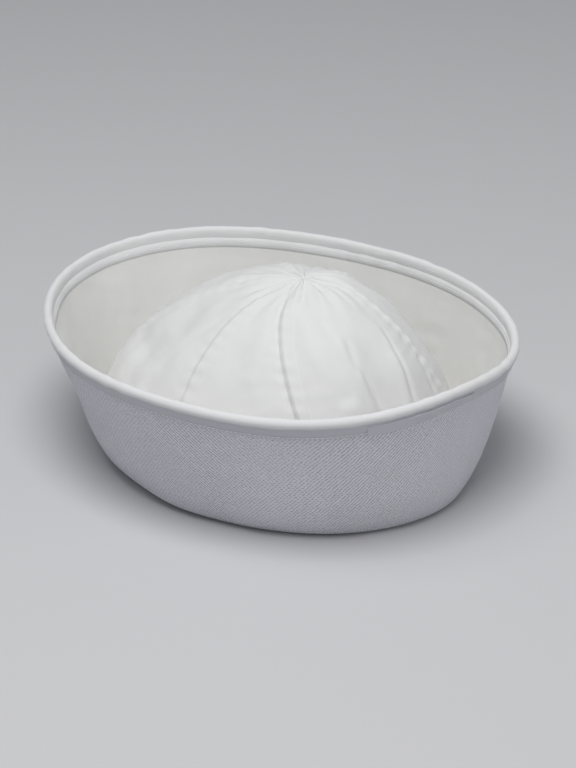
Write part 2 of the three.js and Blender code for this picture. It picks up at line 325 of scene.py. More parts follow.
def makeTwillGroup():
    # diagonal ribs broken up by the threads that cross them, on coordinates in metres
    group, entry, leave = newGroup(
        "twillWeave",
        [("Cloth", "NodeSocketVector", None), ("Rib Spacing", "NodeSocketFloat", 0.0008),
         ("Thread Spacing", "NodeSocketFloat", 0.0005), ("Rib Angle", "NodeSocketFloat", 0.8),
         ("Crossing", "NodeSocketFloat", 0.0), ("Slub", "NodeSocketFloat", 0.35)],
        [("Height", "NodeSocketFloat"), ("Hollow", "NodeSocketFloat")])
    split = group.nodes.new("ShaderNodeSeparateXYZ")
    group.links.new(entry.outputs["Cloth"], split.inputs[0])
    along, up = split.outputs["X"], split.outputs["Y"]
    waver = noiseAt(group, entry.outputs["Cloth"], 260.0, 2.0)
    slack = calc(group, "MULTIPLY", calc(group, "SUBTRACT", waver, 0.5), 0.0016)
    sine = calc(group, "SINE", entry.outputs["Rib Angle"])
    cosine = calc(group, "COSINE", entry.outputs["Rib Angle"])

    def ribs(side):
        rise = calc(group, "MULTIPLY", calc(group, "MULTIPLY", up, cosine), side)
        run = calc(group, "MULTIPLY", along, sine)
        across = calc(group, "ADD", calc(group, "ADD", run, rise), slack)
        turns = calc(group, "DIVIDE", across, entry.outputs["Rib Spacing"])
        return calc(group, "SINE", calc(group, "MULTIPLY", turns, fullTurn))

    rising, falling = ribs(-1.0), ribs(1.0)
    crossing = entry.outputs["Crossing"]
    keep = calc(group, "SUBTRACT", 1.0, crossing)
    both = calc(group, "ADD", calc(group, "MULTIPLY", rising, keep),
                calc(group, "MULTIPLY", falling, crossing))
    threads = calc(group, "SINE", calc(group, "MULTIPLY", calc(
        group, "DIVIDE", calc(group, "ADD", up, slack), entry.outputs["Thread Spacing"]), fullTurn))
    slubs = noiseAt(group, entry.outputs["Cloth"], 900.0, 1.0)
    height = calc(group, "ADD", calc(group, "MULTIPLY", both, 0.36),
                  calc(group, "MULTIPLY", threads, 0.14))
    rough = calc(group, "MULTIPLY", calc(group, "SUBTRACT", slubs, 0.5), entry.outputs["Slub"])
    height = calc(group, "ADD", calc(group, "ADD", height, rough), 0.5)
    group.links.new(height, leave.inputs["Height"])
    # Hollow marks the weave's low places; the materials paint shade there
    group.links.new(remap(group, height, 0.5, 0.0, 0.0, 1.0), leave.inputs["Hollow"])
    return group


def makeAgeGroup():
    # slow unevenness of a washed cotton: how dark and how warm it is from place to place
    group, entry, leave = newGroup(
        "washedCotton",
        [("Place", "NodeSocketVector", None), ("Patch Size", "NodeSocketFloat", 0.05)],
        [("Dulling", "NodeSocketFloat"), ("Warmth", "NodeSocketFloat")])
    scaled = group.nodes.new("ShaderNodeVectorMath")
    scaled.operation = "DIVIDE"
    group.links.new(entry.outputs["Place"], scaled.inputs[0])
    sizes = group.nodes.new("ShaderNodeCombineXYZ")
    for socket in sizes.inputs:
        group.links.new(entry.outputs["Patch Size"], socket)
    group.links.new(sizes.outputs[0], scaled.inputs[1])
    broad = noiseAt(group, scaled.outputs[0], 1.0, 3.0, 0.6)
    fine = noiseAt(group, scaled.outputs[0], 7.0, 2.0, 0.6)
    mixed = calc(group, "ADD", calc(group, "MULTIPLY", broad, 0.7),
                 calc(group, "MULTIPLY", fine, 0.3))
    group.links.new(remap(group, mixed, 0.35, 0.65, 0.0, 1.0), leave.inputs["Dulling"])
    group.links.new(remap(group, broad, 0.45, 0.75, 0.0, 1.0), leave.inputs["Warmth"])
    return group


twillGroup = makeTwillGroup()
ageGroup = makeAgeGroup()


def useGroup(tree, group, **values):
    node = tree.nodes.new("ShaderNodeGroup")
    node.node_tree = group
    for label, value in values.items():
        feed(tree, node.inputs[label.replace("_", " ")], value)
    return node


def mixColour(tree, share, first, second):
    node = tree.nodes.new("ShaderNodeMix")
    node.data_type = "RGBA"
    feed(tree, node.inputs["Factor"], share)
    feed(tree, node.inputs["A"], first)
    feed(tree, node.inputs["B"], second)
    return node.outputs["Result"]


def clothMaterial(name, look):
    material = bpy.data.materials.new(name)
    material.use_nodes = True
    tree = material.node_tree
    shader = tree.nodes["Principled BSDF"]
    place = tree.nodes.new("ShaderNodeTexCoord").outputs["Object"]
    cloth = tree.nodes.new("ShaderNodeUVMap")
    cloth.uv_map = "cloth"
    crossing = 0.0
    if look["turning"]:
        # the grain swings over from one side of the cap to the other
        across = tree.nodes.new("ShaderNodeVectorMath")
        across.operation = "DOT_PRODUCT"
        tree.links.new(place, across.inputs[0])
        across.inputs[1].default_value = look["turnAcross"]
        crossing = remap(tree, across.outputs["Value"], look["turnFrom"], look["turnTo"], 1.0, 0.0)
    weave = useGroup(tree, twillGroup, Cloth=cloth.outputs["UV"], Rib_Spacing=look["ribSpacing"],
                     Thread_Spacing=look["threadSpacing"], Rib_Angle=math.radians(look["ribAngle"]),
                     Crossing=crossing, Slub=look["slub"])
    age = useGroup(tree, ageGroup, Place=place, Patch_Size=look["patchSize"])
    dull = calc(tree, "MULTIPLY", age.outputs["Dulling"], look["dulling"])
    warm = calc(tree, "MULTIPLY", age.outputs["Warmth"], look["warming"])
    hollow = calc(tree, "MULTIPLY", weave.outputs["Hollow"], look["hollowShade"])
    colour = mixColour(tree, dull, look["colour"], look["dullColour"])
    colour = mixColour(tree, warm, colour, look["warmColour"])
    # painted shade: the weave's hollows are darkened towards the hollow shade colour
    colour = mixColour(tree, hollow, colour, look["hollowShadeColour"])
    if look["paintedShadeStrength"]:
        # painted shade: the binding's outside leg and lap are darkened to a blue-grey that stands in
        # for the bead's shadow and the cool shade on the brim's outside
        paintedShade = tree.nodes.new("ShaderNodeAttribute")
        paintedShade.attribute_name = "paintedShade"
        share = calc(tree, "MULTIPLY", paintedShade.outputs["Fac"], look["paintedShadeStrength"])
        colour = mixColour(tree, share, colour, look["paintedShadeColour"])
    tree.links.new(colour, shader.inputs["Base Color"])
    rough = remap(tree, weave.outputs["Height"], 0.0, 1.0, look["roughHigh"], look["roughLow"])
    tree.links.new(rough, shader.inputs["Roughness"])
    bump = tree.nodes.new("ShaderNodeBump")
    bump.inputs["Strength"].default_value = look["bump"]
    bump.inputs["Distance"].default_value = look["relief"]
    tree.links.new(weave.outputs["Height"], bump.inputs["Height"])
    tree.links.new(bump.outputs["Normal"], shader.inputs["Normal"])
    shader.inputs["Specular IOR Level"].default_value = 0.25
    shader.inputs["Sheen Weight"].default_value = look["sheen"]
    shader.inputs["Sheen Roughness"].default_value = 0.5
    return material


plainCotton = {
    "colour": (0.80, 0.80, 0.79, 1), "dullColour": (0.72, 0.725, 0.725, 1),
    "warmColour": (0.79, 0.78, 0.73, 1), "hollowShadeColour": (0.50, 0.50, 0.50, 1),
    "ribSpacing": 0.75 * mm, "threadSpacing": 0.5 * mm, "ribAngle": 45, "slub": 0.3,
    "turning": False, "patchSize": 45 * mm, "dulling": 0.35, "warming": 0.15,
    "paintedShadeStrength": 0.0, "hollowShade": 0.12, "roughLow": 0.78, "roughHigh": 0.95,
    "bump": 0.25, "relief": 0.12 * mm, "sheen": 0.12,
}
crownLook = dict(plainCotton)
# the facing is made warmer than the other cotton: painted warm bounce light from inside the cap
facingLook = dict(plainCotton, colour=(0.815, 0.81, 0.785, 1), warmColour=(0.79, 0.775, 0.72, 1),
                  warming=0.3, bump=0.15)
# the ribbed brim's blue-grey cast, in all its colours, is painted cool shade for the brim's outside;
# its dark hollows are painted shade in the ribs
ribbedLook = dict(
    plainCotton, colour=(0.80, 0.805, 0.85, 1), dullColour=(0.72, 0.725, 0.78, 1),
    warmColour=(0.78, 0.775, 0.80, 1), hollowShadeColour=(0.36, 0.365, 0.41, 1),
    ribSpacing=1.7 * mm, threadSpacing=1.3 * mm, ribAngle=50, slub=0.7, turning=True,
    turnAcross=(-0.666, 0.746, 0), turnFrom=-30 * mm, turnTo=35 * mm,
    hollowShade=1.0, bump=0.8, relief=0.35 * mm)
# the binding itself is plain white; its outside leg and lap take a painted blue-grey shade from a
# point attribute
bindingLook = dict(plainCotton, colour=(0.80, 0.80, 0.80, 1), ribAngle=80, bump=0.2,
                   paintedShadeStrength=1.0, paintedShadeColour=(0.57, 0.58, 0.62, 1))
threadLook = dict(plainCotton, colour=(0.82, 0.82, 0.82, 1), ribSpacing=0.3 * mm,
                  threadSpacing=0.2 * mm, hollowShade=0.2)

crownCloth = clothMaterial("crown cotton", crownLook)
facingCloth = clothMaterial("brim facing cotton", facingLook)
ribbedCloth = clothMaterial("ribbed brim cotton", ribbedLook)
bindingCloth = clothMaterial("binding cotton", bindingLook)
sewingThread = clothMaterial("sewing thread", threadLook)
print("materials made")


# rows of stitches, by Geometry Nodes along guide lines

def buildStitchTree():
    tree = bpy.data.node_groups.new("stitchRows", "GeometryNodeTree")
    face = tree.interface
    face.new_socket(name="Geometry", in_out="INPUT", socket_type="NodeSocketGeometry")
    for label, value in (("Pitch", 2.6 * mm), ("Length", 2.1 * mm), ("Thread Radius", 0.24 * mm),
                         ("Unevenness", 0.12)):
        socket = face.new_socket(name=label, in_out="INPUT", socket_type="NodeSocketFloat")
        socket.default_value = value
    face.new_socket(name="Seed", in_out="INPUT", socket_type="NodeSocketInt")
    face.new_socket(name="Thread", in_out="INPUT", socket_type="NodeSocketMaterial")
    face.new_socket(name="Geometry", in_out="OUTPUT", socket_type="NodeSocketGeometry")
    entry, leave = tree.nodes.new("NodeGroupInput"), tree.nodes.new("NodeGroupOutput")
    given = entry.outputs

    def add(kind, wires, **settings):
        node = tree.nodes.new(kind)
        for name, value in settings.items():
            setattr(node, name, value)
        for label, value in wires.items():
            feed(tree, node.inputs[label], value)
        return node

    toCurve = add("GeometryNodeMeshToCurve", {"Mesh": given["Geometry"]})
    toPoints = add("GeometryNodeCurveToPoints",
                   {"Curve": toCurve.outputs["Curve"], "Length": given["Pitch"]}, mode="LENGTH")
    outward = add("GeometryNodeInputNamedAttribute", {"Name": "outward"}, data_type="FLOAT_VECTOR")
    turn = add("FunctionNodeAxesToRotation",
               {"Primary Axis": toPoints.outputs["Tangent"],
                "Secondary Axis": outward.outputs["Attribute"]}, primary_axis="Z", secondary_axis="X")

    # one stitch: a small stretched ball lying along Z
    stitch = add("GeometryNodeMeshUVSphere", {"Segments": 6, "Rings": 4, "Radius": 1.0})
    size = add("ShaderNodeCombineXYZ", {"X": given["Thread Radius"], "Y": given["Thread Radius"],
                                        "Z": calc(tree, "MULTIPLY", given["Length"], 0.5)})
    shaped = add("GeometryNodeTransform",
                 {"Geometry": stitch.outputs["Mesh"], "Scale": size.outputs[0]})
    vary = add("FunctionNodeRandomValue",
               {0: calc(tree, "SUBTRACT", 1.0, given["Unevenness"]),
                1: calc(tree, "ADD", 1.0, given["Unevenness"]), "Seed": given["Seed"]},
               data_type="FLOAT_VECTOR")

    place = add("GeometryNodeInstanceOnPoints",
                {"Points": toPoints.outputs["Points"], "Instance": shaped.outputs["Geometry"],
                 "Rotation": turn.outputs["Rotation"], "Scale": vary.outputs[0]})
    real = add("GeometryNodeRealizeInstances", {"Geometry": place.outputs["Instances"]})
    paint = add("GeometryNodeSetMaterial",
                {"Geometry": real.outputs["Geometry"], "Material": given["Thread"]})
    tree.links.new(paint.outputs["Geometry"], leave.inputs["Geometry"])
    return tree


stitchTree = buildStitchTree()


def sewRows(name, rows, sewing):
    # rows is a list of (points, outward, closed), sewn as one piece
    verts, edges, outs = [], [], []
    for points, outward, closed in rows:
        first = len(verts)
        verts.extend(points.tolist())
        outs.append(outward)
        edges.extend((first + i, first + i + 1) for i in range(len(points) - 1))
        if closed:
            edges.append((first + len(points) - 1, first))
    mesh = bpy.data.meshes.new(name)
    mesh.from_pydata(verts, edges, [])
    layer = mesh.attributes.new("outward", "FLOAT_VECTOR", "POINT")
    layer.data.foreach_set("vector", np.concatenate(outs).astype(np.float32).ravel())
    piece = bpy.data.objects.new(name, mesh)
    bpy.context.scene.collection.objects.link(piece)
    modifier = piece.modifiers.new("stitches", "NODES")
    modifier.node_group = stitchTree
    given = dict(sewing, Thread=sewingThread)
    for item in stitchTree.interface.items_tree:
        if item.in_out == "INPUT" and item.name in given:
            modifier[item.identifier] = given[item.name]
    graph = bpy.context.evaluated_depsgraph_get()
    made = bpy.data.meshes.new_from_object(piece.evaluated_get(graph))
    piece.modifiers.remove(modifier)
    piece.data = made
    made.name = name
    made.polygons.foreach_set("use_smooth", np.ones(len(made.polygons), bool))
    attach(piece, "root")
    print("sewn", name, len(made.polygons), "faces")


# brim: two plies turned up from the fold

brimReach = 84 * mm              # length of brim that one unit of station covers near the rim
clothLayers = {"outer": 1.0 * mm, "gap": 0.3 * mm, "inner": 1.0 * mm, "crown": 1.2 * mm,
               "binding": 1.0 * mm}

outerPly = {
    "steps": 420, "plyTop": 1.0 * mm, "faceRows": 92, "backRows": 12,
    "lowest": (0.01, 0.025, 0.045), "evenFrom": 0.065,
    "rippleHeight": 0.35 * mm, "rippleLength": 46 * mm,
    "creaseHeight": 0.22 * mm, "creaseLength": 15 * mm,
    "creasePatch": 55 * mm, "sagHeight": 0.5 * mm, "sagLength": 62 * mm,
    "hemLine": 0.145, "hemDepth": 0.3 * mm, "hemWidth": 0.012,
    "allowanceGap": 1.1 * mm, "allowanceClimbs": (0.13, 0.1, 0.07, 0.05), "bendSteps": 5,
}


def brimRuffle(points, stations):
    # how far the brim's cloth stands in (+) or out (-) of its plain surface
    o = outerPly
    free = smoothStep(0.04, 0.3, stations) * (1 - smoothStep(0.9, 1.0, stations))
    soft = ripple(points, o["rippleLength"], 3) * o["rippleHeight"]
    small = ripple(points, o["creaseLength"], 4) * o["creaseHeight"]
    patch = smoothStep(-0.2, 1.2, ripple(points, o["creasePatch"], 5, 5))
    sag = ripple(points, o["sagLength"], 6, 5) * o["sagHeight"]
    low = smoothStep(0.05, 0.16, stations) * (1 - smoothStep(0.2, 0.5, stations))
    return free * (soft + small * patch) + low * sag


def brimLayer(angles, stations, depth, dimples=None):
    angle, station = np.meshgrid(angles, stations, indexing="ij")
    point, inward, up, speed = faceFrame(brimFace, angle, station)
    inwards = depth + brimRuffle(point, station)
    if dimples is not None:
        inwards = inwards + dimples(angle, station)
    moved = point + inward * inwards[..., None]
    moved[..., 2] = np.maximum(moved[..., 2], depth * (1 - smoothStep(0, 0.05, station)))
    return moved


def wallStations(rows):
    # closer together just above the fold, then even up to the top of the ply
    top = 1 - outerPly["plyTop"] / brimReach
    return np.concatenate([outerPly["lowest"], np.linspace(outerPly["evenFrom"], top, rows)])


def brimFlat(angles, insets, depth):
    angle, inset = np.meshgrid(angles, insets, indexing="ij")
    return foldPoint(angle, inset, np.full_like(angle, depth))


def hemStation(angle):
    # the wavering line where the two plies are caught together low on the brim
    return outerPly["hemLine"] + 0.006 * np.sin(3 * angle + 1.1) + 0.004 * np.sin(7 * angle)


def hemLine(angle, station):
    return outerPly["hemDepth"] * hump(station, hemStation(angle), outerPly["hemWidth"])


def crownInside(angles, climbs, behind):
    angle, climb = np.meshgrid(angles, climbs, indexing="ij")
    point, inward, up, speed = faceFrame(crownFace, angle, climb)
    point = point + inward * behind
    point[..., 2] = np.maximum(point[..., 2], crownShape["footHeight"])
    return point


def outerPlyFace(angles, depth, rows, dimples=None):
    o = outerPly
    behind = clothLayers["crown"] + o["allowanceGap"] + clothLayers["outer"] - depth
    allowance = crownInside(angles, o["allowanceClimbs"], behind)
    radius = foldShape["bendRadius"] - depth
    turns = np.pi / 2 * (1 - np.arange(o["bendSteps"]) / o["bendSteps"])
    angle, turn = np.meshgrid(angles, turns, indexing="ij")
    bend = foldPoint(angle, foldShape["flatWidth"] + radius * np.sin(turn),
                     foldShape["bendRadius"] - radius * np.cos(turn))
    flat = brimFlat(angles, np.array([1.0, 0.5, 0.0]) * foldShape["flatWidth"], depth)
    wall = brimLayer(angles, wallStations(rows), depth, dimples)
    return np.concatenate([allowance, bend, flat, wall], axis=1)


def sectionUv(points):
    # metres of cloth round the cap and up the section, seamless apart from one line each way
    ring = np.concatenate([points, points[:1]], axis=0)
    along = np.linalg.norm(np.diff(ring, axis=0), axis=2).mean(axis=1)
    u = np.concatenate([[0], np.cumsum(along)])
    section = np.concatenate([ring, ring[:, :1]], axis=1)
    v = np.concatenate([np.zeros((len(ring), 1)),
                        np.cumsum(np.linalg.norm(np.diff(section, axis=1), axis=2), axis=1)], axis=1)
    return np.stack([np.broadcast_to(u[:, None], v.shape), v], axis=-1)


def ringAngles(steps):
    return np.arange(steps) / steps * fullTurn


def ringPiece(name, outline):
    return meshFromGrid(name, outline, sectionUv(outline))


angles = ringAngles(outerPly["steps"])
face = outerPlyFace(angles, 0.0, outerPly["faceRows"], hemLine)
back = outerPlyFace(angles, clothLayers["outer"], outerPly["backRows"])
brimOutside = ringPiece("brim_outside", np.concatenate([face, back[:, ::-1]], axis=1))
standFor(brimOutside, ribbedCloth, "ribbed_twill", "brim_outer_ply")

innerPly = {"steps": 300, "faceRows": 44, "backRows": 12, "foldStart": 2 * mm,
            "firstGroove": 0.865, "grooveDepth": 0.1 * mm, "grooveWidth": 0.008}


def facingLines(angle, station):
    # soft lines pressed into the facing below the binding's inner edge
    i = innerPly
    lines = 0
    for shift, share in ((0, 1.0), (-0.03, 0.7)):
        lines = lines + share * hump(station - i["firstGroove"], shift, i["grooveWidth"])
    return -i["grooveDepth"] * lines


def innerPlyFace(angles, depth, rows, dimples=None):
    flat = brimFlat(angles, np.array([innerPly["foldStart"], 0.0]), depth)
    return np.concatenate([flat, brimLayer(angles, wallStations(rows), depth, dimples)], axis=1)


angles = ringAngles(innerPly["steps"])
near = clothLayers["outer"] + clothLayers["gap"]
hidden = innerPlyFace(angles, near, innerPly["backRows"])
shown = innerPlyFace(angles, near + clothLayers["inner"], innerPly["faceRows"], facingLines)
brimInside = ringPiece("brim_facing", np.concatenate([hidden, shown[:, ::-1]], axis=1))
standFor(brimInside, facingCloth, "facing_twill", "brim_inner_ply")
print("brim plies made")


# binding rolled over the edge, its loose end lapped at the back

binding = {
    "steps": 480, "beadRadius": 2.9 * mm, "beadRows": 18, "outsideRows": 15, "insideRows": 22,
    "beadStart": -0.74, "beadPastHalf": 0.12,    # turns of the bead's section, in radians
    "outsideLeg": 7.8 * mm, "insideLeg": 8.0 * mm, "edgeRound": 0.35 * mm,
    "pressed": 0.25,                # share of the tape's thickness left at its outer sewn edge
    "insideLift": -0.05 * mm,       # the inner edge is pressed almost flush with the facing
    "innerBead": 0.72, "fillet": 2.6 * mm, "legTop": 3.0 * mm, "sinkFrom": 3.4 * mm,
    "sinkDepth": 0.3 * mm, "outsideUneven": 0.07 * mm, "insideUneven": 0.03 * mm,
    "crease": 3.6 * mm, "creaseDepth": 0.15 * mm, "creaseWidth": 0.9 * mm,
    "ridge": 5.6 * mm, "ridgeHeight": 0.15 * mm, "ridgeWidth": 0.9 * mm,
    "swell": 0.16 * mm, "swellLength": 11 * mm,
    "stitchDip": 0.12 * mm, "stitchAbove": 1.5 * mm, "insideStitchAbove": 2.2 * mm,
}


def bindingPoints(angles, below, depth):
    # points of the binding's legs, distances below the rim and depths in metres
    angle, below = np.meshgrid(angles, below, indexing="ij")
    station = 1 - below / brimReach
    point, inward, up, speed = faceFrame(brimFace, angle, station)
    return point, inward, point + inward * (depth + brimRuffle(point, station))[..., None]


def bindingOutline(angles):
    b = binding
    stack = clothLayers["outer"] + clothLayers["gap"] + clothLayers["inner"]
    near = -clothLayers["gap"]
    far = stack + clothLayers["gap"]
    outside = near - clothLayers["binding"]

    point, inward, up, speed = faceFrame(brimFace, angles, np.ones_like(angles))
    centre = point + inward * stack / 2
    turns = np.linspace(b["beadStart"], np.pi + b["beadPastHalf"], b["beadRows"])
    fat = 1 + ripple(point, b["swellLength"], 11)[:, None] * b["swell"] / b["beadRadius"]
    radius = b["beadRadius"] * fat * (1 - (1 - b["innerBead"]) * smoothStep(np.pi / 2, np.pi, turns))
    radius = radius[..., None]
    bead = (centre[:, None] - inward[:, None] * np.cos(turns)[None, :, None] * radius
            + up[:, None] * np.sin(turns)[None, :, None] * radius)

    # outside leg, from its turned-under edge up to the crease beneath the bead
    edge = b["edgeRound"]
    rising = np.linspace(edge, b["outsideLeg"] - b["legTop"], b["outsideRows"])
    belowOut = b["outsideLeg"] - np.concatenate([[0.3 * edge, 0, 0.3 * edge], rising])
    taper = b["pressed"] + (1 - b["pressed"]) * np.linspace(0, 1, b["outsideRows"]) ** 0.8
    liftOut = np.concatenate([np.array([0.25, 0.6, 0.9]) * b["pressed"], taper])
    point, inward, leg = bindingPoints(angles, belowOut, near)
    puff = hump(belowOut, b["outsideLeg"] - b["stitchAbove"], 0.9 * mm) * b["stitchDip"]
    unevenness = ripple(point, 7 * mm, 12) * b["outsideUneven"]
    depthOut = (outside - near) * liftOut + puff
    outsideLeg = leg + inward * (depthOut + unevenness * liftOut)[..., None]

    # inside leg, from the bead down to its lower edge, which sinks into the facing
    belowIn = np.concatenate([np.linspace(0.9 * mm, b["insideLeg"] - edge, b["insideRows"]),
                              b["insideLeg"] - np.array([0.3, 0, 0.3]) * edge])
    sunk = smoothStep(b["insideLeg"] - b["sinkFrom"], b["insideLeg"], belowIn)
    fillet = b["beadRadius"] * b["innerBead"] - stack / 2 - clothLayers["gap"] - b["insideLift"]
    point, inward, leg = bindingPoints(angles, belowIn, far)
    relief = (hump(belowIn, b["ridge"], b["ridgeWidth"]) * b["ridgeHeight"]
              - hump(belowIn, b["crease"], b["creaseWidth"]) * b["creaseDepth"]
              + hump(belowIn, 0, b["fillet"]) * fillet
              + b["insideLift"] * (1 - sunk) - (clothLayers["gap"] + b["sinkDepth"]) * sunk)
    unevenness = ripple(point, 14 * mm, 13) * b["insideUneven"]
    insideLeg = leg + inward * (relief + unevenness)[..., None]

    # the hidden faces against the plies
    belowBack = np.array([b["insideLeg"] - edge, 6 * mm, 0.7 * mm])
    backIn = bindingPoints(angles, belowBack, far)[2]
    belowBack = np.array([0.7 * mm, 6 * mm, b["outsideLeg"] - edge])
    backOut = bindingPoints(angles, belowBack, near)[2]
    outline = np.concatenate([outsideLeg, bead, insideLeg, backIn, backOut], axis=1)
    # painted shade mask: full on the outside leg, fading out over the bead's lowest rows
    paintedShadeMask = np.zeros(outline.shape[1])
    paintedShadeMask[:outsideLeg.shape[1]] = 1
    paintedShadeMask[outsideLeg.shape[1]:outsideLeg.shape[1] + 3] = (0.9, 0.55, 0.2)
    return outline, np.broadcast_to(paintedShadeMask, outline.shape[:2])


# store the painted shade mask as a point attribute for the binding material
def paintShade(piece, paintedShadeMask):
    layer = piece.data.attributes.new("paintedShade", "FLOAT", "POINT")
    layer.data.foreach_set("value", np.ascontiguousarray(paintedShadeMask, np.float32).ravel())


outline, paintedShadeMask = bindingOutline(ringAngles(binding["steps"]))
edgeBinding = ringPiece("rolled_binding", outline)
paintShade(edgeBinding, paintedShadeMask)
standFor(edgeBinding, bindingCloth, "binding_tape", "edge_binding")


# panels of cloth closed all round

def panelMesh(name, outer, inner, uv):
    columns, rows = outer.shape[:2]
    back = columns * rows
    index = np.arange(back).reshape(columns, rows)
    i, j = np.meshgrid(np.arange(columns - 1), np.arange(rows - 1), indexing="ij")
    front = np.stack([index[i, j], index[i + 1, j], index[i + 1, j + 1], index[i, j + 1]], -1)
    front = front.reshape(-1, 4)
    rear = front[:, ::-1] + back
    rim = np.concatenate([index[1:, 0][::-1], index[0, :-1], index[:-1, -1], index[-1, 1:][::-1]])
    border = np.concatenate([index[:-1, 0][::-1], index[0, 1:], index[1:, -1], index[-1, :-1][::-1]])
    strip = np.stack([rim, border, border + back, rim + back], -1)
    quads = np.concatenate([front, rear, strip])
    verts = np.concatenate([outer.reshape(-1, 3), inner.reshape(-1, 3)])
    flatUv = uv.reshape(-1, 2)
    return buildMesh(name, verts, quads, flatUv[quads % back])


def panelUv(points):
    along = np.cumsum(np.linalg.norm(np.diff(points, axis=0, prepend=points[:1]), axis=2), axis=0)
    up = np.cumsum(np.linalg.norm(np.diff(points, axis=1, prepend=points[:, :1]), axis=2), axis=1)
    middle = along[len(along) // 2]
    return np.stack([along - middle, np.broadcast_to(up.mean(axis=0), along.shape)], axis=-1)


bindingLap = {
    "columns": 90, "rows": 20, "start": 148, "endLow": 166, "endHigh": 183,
    "low": 8.0 * mm, "high": 2.8 * mm, "thickness": 0.75 * mm, "sunk": 0.35 * mm,
    "pucker": 0.22 * mm,
}


def lapPanel():
    b = bindingLap
    share = np.linspace(0, 1, b["rows"])
    along = np.linspace(0, 1, b["columns"])[:, None]
    end = b["endLow"] + (b["endHigh"] - b["endLow"]) * share ** 1.15
    angle = np.radians(b["start"] + (end - b["start"]) * along)
    below = np.broadcast_to(b["low"] + (b["high"] - b["low"]) * share, angle.shape)
    station = 1 - below / brimReach
    point, inward, up, speed = faceFrame(brimFace, angle, station)
    surface = -clothLayers["gap"] - clothLayers["binding"] + brimRuffle(point, station)
    rise = b["thickness"] * smoothStep(0, 0.35, along)
    rounded = np.minimum(smoothStep(0, 0.08, 1 - along), smoothStep(-0.03, 0.05, share))
    pucker = ripple(point, 6 * mm, 14) * b["pucker"] * smoothStep(0.2, 0.8, along)
    outer = point + inward * (surface + 0.1 * mm - (rise + pucker) * rounded - 0.15 * mm)[..., None]
    inner = point + inward * (surface + b["sunk"])[..., None]
    return panelMesh("binding_lap", outer, inner, panelUv(outer))


lap = lapPanel()
# the lap takes the same painted shade all over
paintShade(lap, np.ones(len(lap.data.vertices)))
standFor(lap, bindingCloth, "binding_tape")
print("binding made")


# crown of six gores with felled seams

gore = {
    "columns": 84, "rows": 118, "foot": 0.002, "tip": 0.999, "thickness": 0.8 * mm, "tuck": 2.4 * mm,
    "bandWidth": 8 * mm, "bandRaise": 0.3 * mm, "bandEdge": 1.1 * mm, "bandFree": 3.0 * mm,
    "bandColumns": 26, "bandSpan": 1.15,         # the close columns reach just past the band
    "bandMost": 0.5, "tuckMost": 0.2,            # shares of the gore's width, near the tip
    "tuckSink": 0.05 * mm, "grooveWidth": 2.2 * mm, "ridgeWidth": 1.6 * mm,
    "stitchRows": (1.4 * mm, 6.4 * mm), "stitchDip": 0.14 * mm, "stitchWidth": 0.7 * mm,
    "puckerPitch": 8.2 * mm, "puckerHeight": 0.22 * mm, "puckerReach": 6.5 * mm,
    "wrinkleHeight": 0.294 * mm, "wrinkleLength": 24 * mm,
    "fineHeight": 0.12 * mm, "fineLength": 11 * mm, "finePatch": 50 * mm,
    "gatherHeight": 0.48 * mm,
}

crownCreases = [  # lines on the crown: ends as (angle, climb), how wide and how far out in mm
    {"low": (153, 0.62), "high": (134, 0.85), "width": 4.5, "out": 0.9},
    {"low": (158, 0.53), "high": (156, 0.65), "width": 2.2, "out": -1.1},
    {"low": (167, 0.40), "high": (161, 0.54), "width": 2.0, "out": -1.0},
    {"low": (163, 0.40), "high": (157, 0.56), "width": 2.6, "out": 0.7},
    {"low": (185, 0.36), "high": (192, 0.64), "width": 1.8, "out": -1.2},
    {"low": (181, 0.34), "high": (188, 0.62), "width": 3.0, "out": 0.7},
    {"low": (204, 0.32), "high": (210, 0.48), "width": 2.0, "out": -0.8},
    {"low": (141, 0.54), "high": (122, 0.81), "width": 5.0, "out": 0.7},
    {"low": (112, 0.46), "high": (101, 0.80), "width": 6.0, "out": 0.5},
    {"low": (66, 0.44), "high": (72, 0.66), "width": 3.0, "out": -0.6},
    {"low": (114, 0.64), "high": (99, 0.86), "width": 2.6, "out": -0.9},
    {"low": (62, 0.78), "high": (50, 0.93), "width": 2.6, "out": -0.7},
    {"low": (92, 0.68), "high": (82, 0.90), "width": 3.0, "out": -0.5},
    {"low": (132, 0.80), "high": (120, 0.94), "width": 2.0, "out": -0.6},
    {"low": (180, 0.78), "high": (176, 0.92), "width": 2.4, "out": -0.6},
    {"low": (240, 0.35), "high": (228, 0.66), "width": 2.6, "out": -0.9},
    {"low": (300, 0.38), "high": (290, 0.62), "width": 3.0, "out": -0.8},
    {"low": (350, 0.34), "high": (342, 0.66), "width": 2.6, "out": -0.8},
    {"low": (8, 0.40), "high": (2, 0.60), "width": 3.2, "out": 0.7},
]

crownDents = [  # small dents and bumps, spreads and heights in mm
    {"angle": 43, "climb": 0.415, "round": 20, "up": 6, "out": -2.2},
    {"angle": 52, "climb": 0.505, "round": 15, "up": 3.5, "out": 0.7},
    {"angle": 245, "climb": 0.8, "round": 22, "up": 22, "out": 1.2},
    {"angle": 154, "climb": 0.42, "round": 5, "up": 4, "out": 0.6},
    {"angle": 150, "climb": 0.47, "round": 4, "up": 5, "out": -0.6},
    {"angle": 35, "climb": 0.41, "round": 8, "up": 8, "out": -0.8},
    {"angle": 67, "climb": 0.35, "round": 5, "up": 5, "out": -0.9},
    {"angle": 128, "climb": 0.58, "round": 6, "up": 9, "out": -0.6},
]


def seamAngle(seam, climb):
    return np.radians(seam["foot"] + (seam["top"] - seam["foot"]) * climb ** seam["turn"])


